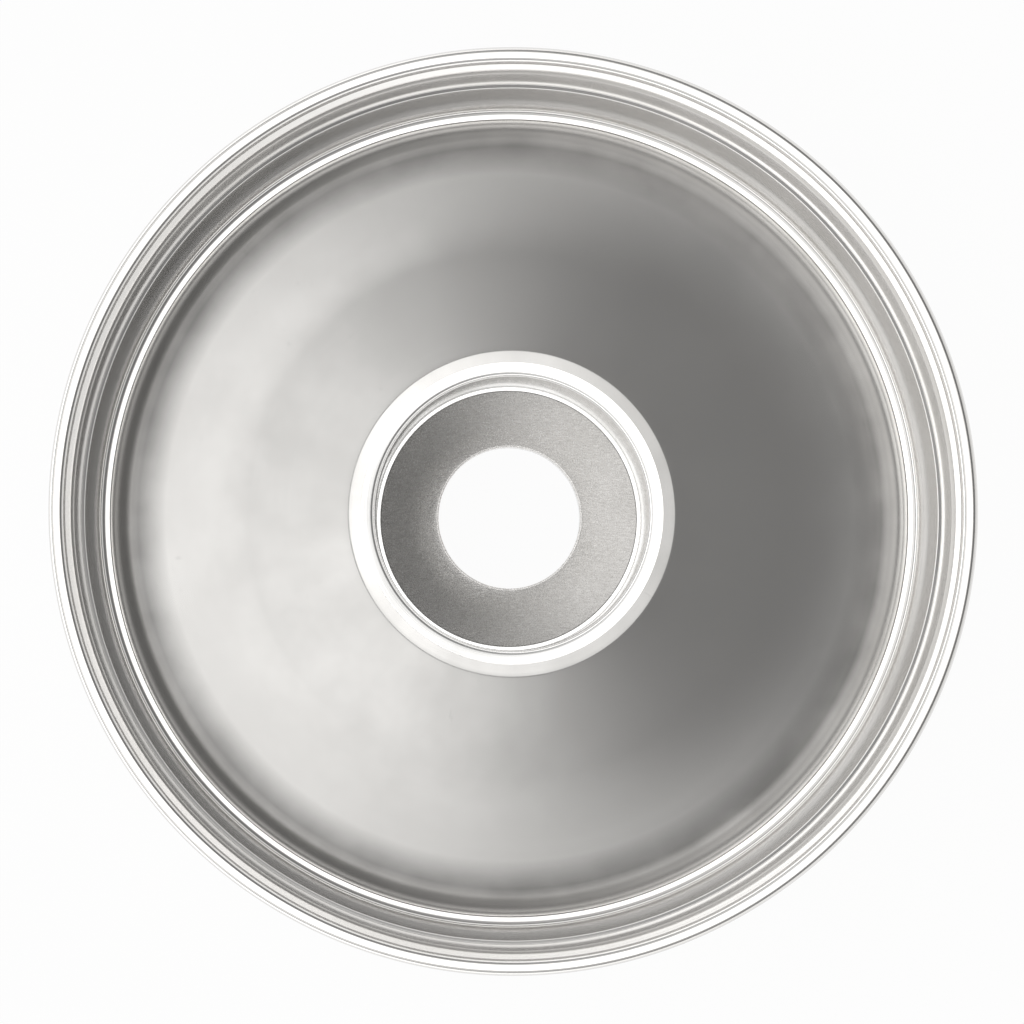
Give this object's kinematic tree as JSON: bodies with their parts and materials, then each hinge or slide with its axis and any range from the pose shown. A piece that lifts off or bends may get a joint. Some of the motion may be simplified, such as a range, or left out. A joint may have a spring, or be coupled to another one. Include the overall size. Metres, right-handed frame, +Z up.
{
  "type": "ring cake pan",
  "caption": "Round spun-metal ring cake pan: rolled rim, stepped wall, coned lift-out floor and a recessed centre well with a round vent hole.",
  "frame": {"origin": "on the table, at the middle of the foot ring", "axes": "+Z up along the pan's axis; the pan is round, so X and Y are free"},
  "size_m": [0.26, 0.26, 0.0576],
  "materials": {
    "spun_wall": "satin spun, fine tool rings",
    "wire": "drawn wire",
    "spun_floor": "satin spun, soft clouding",
    "turned_sleeve": "bright turned",
    "collar": "bright rolled",
    "cast_cone": "matt, fine grained"
  },
  "bodies": {
    "pan_body": {"pan_wall": "spun_wall", "rim_wire": "wire"},
    "floor_unit": {"lift_out_floor": "spun_floor", "seam_collar": "collar", "well_sleeve": "turned_sleeve", "vent_cone": "cast_cone"}
  },
  "joints": [
    {"name": "floor_lift", "type": "slide", "parent": "pan_body", "child": "floor_unit", "axis": [0, 0, 1], "range_m": [0, 0.07]}
  ]
}
